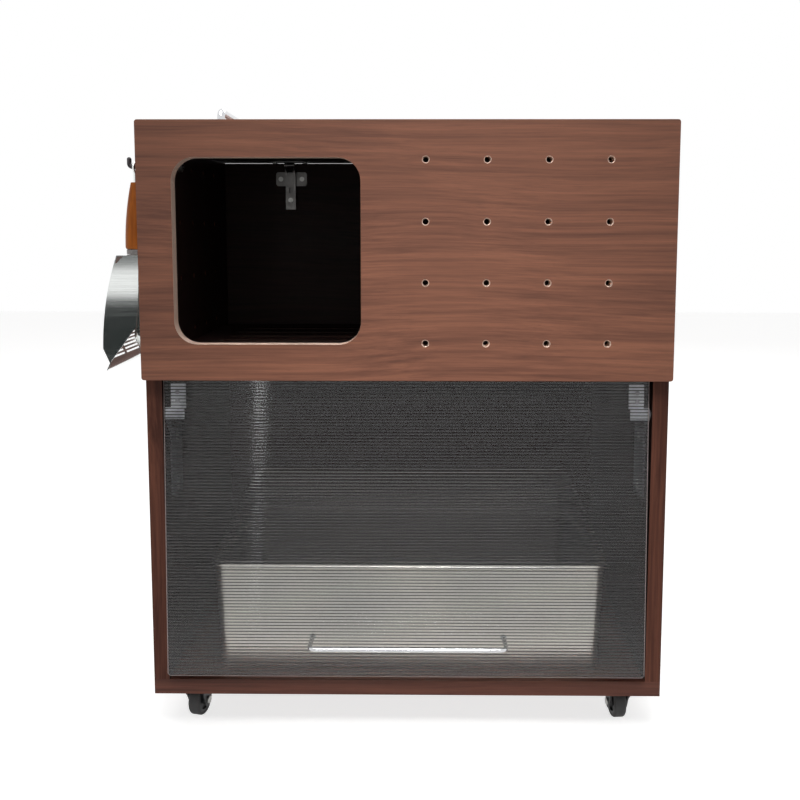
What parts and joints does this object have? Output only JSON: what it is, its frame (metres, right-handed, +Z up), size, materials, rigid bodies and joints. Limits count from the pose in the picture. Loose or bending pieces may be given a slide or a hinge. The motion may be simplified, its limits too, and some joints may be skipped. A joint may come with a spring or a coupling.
{
  "type": "cat litter box cabinet",
  "caption": "Walnut-look litter box cabinet on casters, with a side entry and vents in front, a hinged lid, a clear ribbed flap over a metal pan, and a slotted scoop on a side hook.",
  "frame": {"origin": "on the floor, under the middle of the whole object's box, scoop and pull included", "axes": "+X to the viewer's right, +Y from the front to the back, +Z up; the front faces -Y"},
  "size_m": [0.661, 0.4608, 0.7415],
  "materials": {
    "walnut_laminate": "satin walnut laminate over board, with a fine horizontal grain on the front",
    "cap_plastic": "matt dark brown plastic",
    "dowel_beech": "raw beech",
    "zinc_steel": "zinc-plated steel",
    "hinge_steel": "nickel-plated pressed steel",
    "leaf_enamel": "pale enamelled steel",
    "chrome_bar": "polished chrome",
    "clear_pad": "clear soft pad",
    "ribbed_sheet": "clear ribbed sheet",
    "pan_steel": "satin stainless sheet",
    "caster_steel": "black painted steel",
    "wheel_core": "dark grey plastic",
    "wheel_tyre": "dark grey rubber",
    "axle_steel": "plain steel",
    "hook_black": "dark painted steel",
    "scoop_steel": "stainless sheet, polished outside",
    "ferrule_steel": "dark steel",
    "scoop_wood": "varnished orange-brown wood"
  },
  "bodies": {
    "cabinet": {"left_side_panel": "walnut_laminate", "right_side_panel": "walnut_laminate", "bottom_board": "walnut_laminate", "back_panel": "walnut_laminate", "shelf": "walnut_laminate", "front_fascia": "walnut_laminate", "fascia_dowels": "dowel_beech", "carcass_screws": "zinc_steel", "screw_caps": "cap_plastic", "lid_bumpers": "clear_pad", "hinge_plates": "hinge_steel", "hinge_plate_screws": "zinc_steel", "hinge_arms": "hinge_steel", "hinge_arm_screws": "zinc_steel", "hinge_arm_pins": "zinc_steel", "flap_wall_plates": "leaf_enamel", "flap_plate_screws": "zinc_steel", "flap_pivot_pins": "zinc_steel", "caster_plates": "caster_steel", "caster_plate_screws": "zinc_steel", "scoop_hook": "hook_black", "scoop_hook_nut": "zinc_steel"},
    "lid_links": {"hinge_links": "hinge_steel"},
    "lid": {"lid": "walnut_laminate", "hinge_cups": "hinge_steel", "hinge_cup_pins": "zinc_steel", "hinge_cup_screws": "zinc_steel", "lid_handle": "chrome_bar", "lid_handle_screws": "zinc_steel"},
    "flap": {"flap_sheet": "ribbed_sheet", "flap_leaf_left": "leaf_enamel", "flap_leaf_right": "leaf_enamel", "flap_leaf_screws": "zinc_steel", "flap_handle": "chrome_bar", "flap_handle_screws": "zinc_steel"},
    "pan": {"litter_pan": "pan_steel"},
    "scoop": {"scoop_rod": "scoop_steel", "scoop_handle": "scoop_wood", "scoop_ferrule": "ferrule_steel", "scoop_blade": "scoop_steel"},
    "caster_front_left": {"caster_fork_front_left": "caster_steel", "caster_axle_front_left": "axle_steel"},
    "wheel_front_left": {"caster_wheel_front_left": "wheel_core", "caster_tyre_front_left": "wheel_tyre"},
    "caster_front_right": {"caster_fork_front_right": "caster_steel", "caster_axle_front_right": "axle_steel"},
    "wheel_front_right": {"caster_wheel_front_right": "wheel_core", "caster_tyre_front_right": "wheel_tyre"},
    "caster_rear_left": {"caster_fork_rear_left": "caster_steel", "caster_axle_rear_left": "axle_steel"},
    "wheel_rear_left": {"caster_wheel_rear_left": "wheel_core", "caster_tyre_rear_left": "wheel_tyre"},
    "caster_rear_right": {"caster_fork_rear_right": "caster_steel", "caster_axle_rear_right": "axle_steel"},
    "wheel_rear_right": {"caster_wheel_rear_right": "wheel_core", "caster_tyre_rear_right": "wheel_tyre"}
  },
  "joints": [
    {"name": "link_hinge", "type": "hinge", "parent": "cabinet", "child": "lid_links", "pos_m": [0.0295, 0.19041, 0.6965], "axis": [-1, 0, 0], "range_deg": [-30, 0]},
    {"name": "lid_hinge", "type": "hinge", "parent": "lid_links", "child": "lid", "pos_m": [0.0295, 0.21891, 0.706], "axis": [-1, 0, 0], "range_deg": [0, 125]},
    {"name": "flap_hinge", "type": "hinge", "parent": "cabinet", "child": "flap", "pos_m": [0.0295, -0.16999, 0.387], "axis": [-1, 0, 0], "range_deg": [-2.5, 117.5]},
    {"name": "pan_slide", "type": "slide", "parent": "cabinet", "child": "pan", "axis": [0, -1, 0], "range_m": [-0.02, 0.012]},
    {"name": "scoop_swing", "type": "hinge", "parent": "cabinet", "child": "scoop", "pos_m": [-0.3065, -0.07759, 0.6765], "axis": [1, 0, 0], "range_deg": [-40, 40]},
    {"name": "swivel_front_left", "type": "hinge", "parent": "cabinet", "child": "caster_front_left", "pos_m": [-0.2315, -0.14259, 0], "axis": [0, 0, 1], "continuous": true},
    {"name": "roll_front_left", "type": "hinge", "parent": "caster_front_left", "child": "wheel_front_left", "pos_m": [-0.2286, -0.13094, 0.019], "axis": [0.9703, -0.2419, 0], "continuous": true},
    {"name": "swivel_front_right", "type": "hinge", "parent": "cabinet", "child": "caster_front_right", "pos_m": [0.2905, -0.14259, 0], "axis": [0, 0, 1], "continuous": true},
    {"name": "roll_front_right", "type": "hinge", "parent": "caster_front_right", "child": "wheel_front_right", "pos_m": [0.28925, -0.13065, 0.019], "axis": [0.9945, 0.1045, 0], "continuous": true},
    {"name": "swivel_rear_left", "type": "hinge", "parent": "cabinet", "child": "caster_rear_left", "pos_m": [-0.2315, 0.19141, 0], "axis": [0, 0, 1], "continuous": true},
    {"name": "roll_rear_left", "type": "hinge", "parent": "caster_rear_left", "child": "wheel_rear_left", "pos_m": [-0.23461, 0.203, 0.019], "axis": [0.9659, 0.2588, 0], "continuous": true},
    {"name": "swivel_rear_right", "type": "hinge", "parent": "cabinet", "child": "caster_rear_right", "pos_m": [0.2905, 0.19141, 0], "axis": [0, 0, 1], "continuous": true},
    {"name": "roll_rear_right", "type": "hinge", "parent": "caster_rear_right", "child": "wheel_rear_right", "pos_m": [0.29217, 0.2033, 0.019], "axis": [0.9903, -0.1392, 0], "continuous": true}
  ],
  "couplings": [
    {"joint": "link_hinge", "follows": "lid_hinge", "ratio": -0.24}
  ]
}
